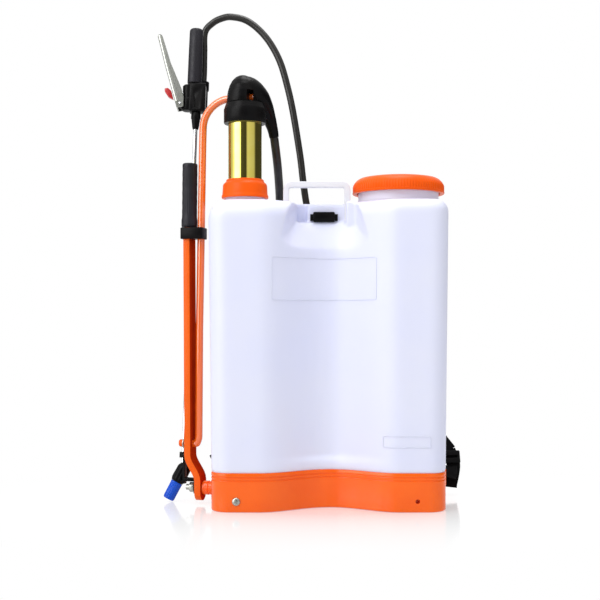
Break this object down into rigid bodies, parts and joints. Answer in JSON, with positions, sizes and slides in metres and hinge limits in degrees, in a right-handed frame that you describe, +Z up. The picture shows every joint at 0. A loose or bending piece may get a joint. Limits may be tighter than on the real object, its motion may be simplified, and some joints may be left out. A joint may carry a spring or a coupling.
{
  "type": "backpack sprayer",
  "caption": "Knapsack sprayer: translucent tank on an orange base, lever pump with brass chamber, hose, trigger lance and shoulder harness.",
  "frame": {"origin": "centre of the base's flat underside", "axes": "+Z up, +X to the right as the tank front is faced, -Y out of the tank front; the harness is on +Y"},
  "size_m": [0.4462, 0.236, 0.716],
  "materials": {
    "tank_plastic": "milky translucent polyethylene",
    "orange_plastic": "glossy moulded orange",
    "orange_paint": "glossy orange powder coat on steel",
    "black_plastic": "fine moulded texture",
    "black_rubber": "soft black grip",
    "hose_rubber": "smooth black hose",
    "brass": "polished",
    "zinc_steel": "zinc plated",
    "steel": "polished stainless",
    "white_plastic": "white polypropylene",
    "blue_plastic": "moulded blue",
    "red_plastic": "moulded red",
    "webbing": "woven black webbing over foam"
  },
  "bodies": {
    "tank_frame": {"tank": "tank_plastic", "base": "orange_plastic", "base_screw_front": "zinc_steel", "base_screw_rear_left": "zinc_steel", "base_screw_rear_right": "zinc_steel", "pump_ring": "orange_plastic", "pump_barrel": "white_plastic", "wiper_seal": "black_rubber", "inlet_seat": "white_plastic", "inlet_ball": "steel", "filler_strainer": "white_plastic", "carry_handle": "white_plastic", "strap_anchor": "black_plastic", "pivot_stud": "zinc_steel", "pivot_nut": "zinc_steel", "lance_holder": "black_plastic", "strap_pad_left": "webbing", "strap_pad_right": "webbing", "strap_hook_left": "black_plastic", "strap_hook_right": "black_plastic", "webbing_upper_left": "webbing", "webbing_upper_right": "webbing", "webbing_lower_left": "webbing", "webbing_lower_right": "webbing", "strap_buckle_left": "black_plastic", "strap_buckle_right": "black_plastic", "hose_guide": "black_plastic", "hose_to_guide": "hose_rubber", "hose_to_lance": "hose_rubber"},
    "chamber": {"chamber_tube": "brass", "piston": "white_plastic", "piston_cup": "black_rubber", "head_collar": "black_plastic", "chamber_head": "black_plastic"},
    "link": {"link_rod": "orange_paint", "head_washer": "zinc_steel", "rod_clip": "black_plastic"},
    "lever": {"lever_bar": "orange_paint", "lever_grip": "black_rubber", "link_pin": "orange_paint", "pin_washer": "zinc_steel", "pin_clip": "zinc_steel"},
    "lance": {"lance_tube": "steel", "ferrule_nut": "black_plastic", "lance_grip": "black_rubber", "valve_body": "black_plastic", "trigger_pin": "steel", "hose_nut": "black_plastic", "nozzle_body": "black_plastic"},
    "trigger": {"trigger": "zinc_steel"},
    "trigger_lock": {"trigger_lock": "red_plastic"},
    "plunger": {"valve_plunger": "steel"},
    "nozzle_tip": {"nozzle_tip": "blue_plastic"},
    "lid_seal": {"lid_seal": "black_rubber"},
    "lid": {"filler_lid": "orange_plastic"}
  },
  "joints": [
    {"name": "lever_swing", "type": "hinge", "parent": "tank_frame", "child": "lever", "pos_m": [-0.17986, -0.00423, 0.0225], "axis": [-0.9703, 0.2419, 0], "range_deg": [0, 90]},
    {"name": "chamber_slide", "type": "slide", "parent": "tank_frame", "child": "chamber", "axis": [0, 0, 1], "range_m": [-0.0653, 0], "deforming": ["hose_to_guide"]},
    {"name": "link_hinge", "type": "hinge", "parent": "chamber", "child": "link", "pos_m": [-0.1166, -0.02, 0.5627], "axis": [0.9703, -0.2419, 0], "range_deg": [0, 7.4]},
    {"name": "lance_unclip", "type": "slide", "parent": "tank_frame", "child": "lance", "axis": [-0.9703, 0.2419, 0], "range_m": [0, 0.06], "deforming": ["hose_to_lance"]},
    {"name": "trigger_squeeze", "type": "hinge", "parent": "lance", "child": "trigger", "pos_m": [-0.21619, 0.08611, 0.57343], "axis": [0, 0.9924, -0.1233], "range_deg": [0, 12], "stiffness_Nm_per_rad": 0.8, "springref_deg": -14.32},
    {"name": "lock_swing", "type": "hinge", "parent": "trigger", "child": "trigger_lock", "pos_m": [-0.23086, 0.08742, 0.58399], "axis": [0, 0.9924, -0.1233], "range_deg": [-50, 0]},
    {"name": "plunger_press", "type": "slide", "parent": "lance", "child": "plunger", "axis": [0.9997, -0.0029, -0.0237], "range_m": [0, 0.0037]},
    {"name": "nozzle_turn", "type": "hinge", "parent": "lance", "child": "nozzle_tip", "pos_m": [-0.2032, 0.02094, 0.0489], "axis": [0.4597, 0.1095, 0.8813], "continuous": true},
    {"name": "lid_lift", "type": "slide", "parent": "tank_frame", "child": "lid_seal", "axis": [0, 0, 1], "range_m": [0, 0.06]},
    {"name": "lid_turn", "type": "hinge", "parent": "lid_seal", "child": "lid", "pos_m": [0.097, 0, 0.4425], "axis": [0, 0, 1], "continuous": true}
  ],
  "couplings": [
    {"joint": "chamber_slide", "follows": "lever_swing", "m_per_rad": -0.04146},
    {"joint": "link_hinge", "follows": "lever_swing", "ratio": 0.081561},
    {"joint": "plunger_press", "follows": "trigger_squeeze", "m_per_rad": 0.017189}
  ]
}
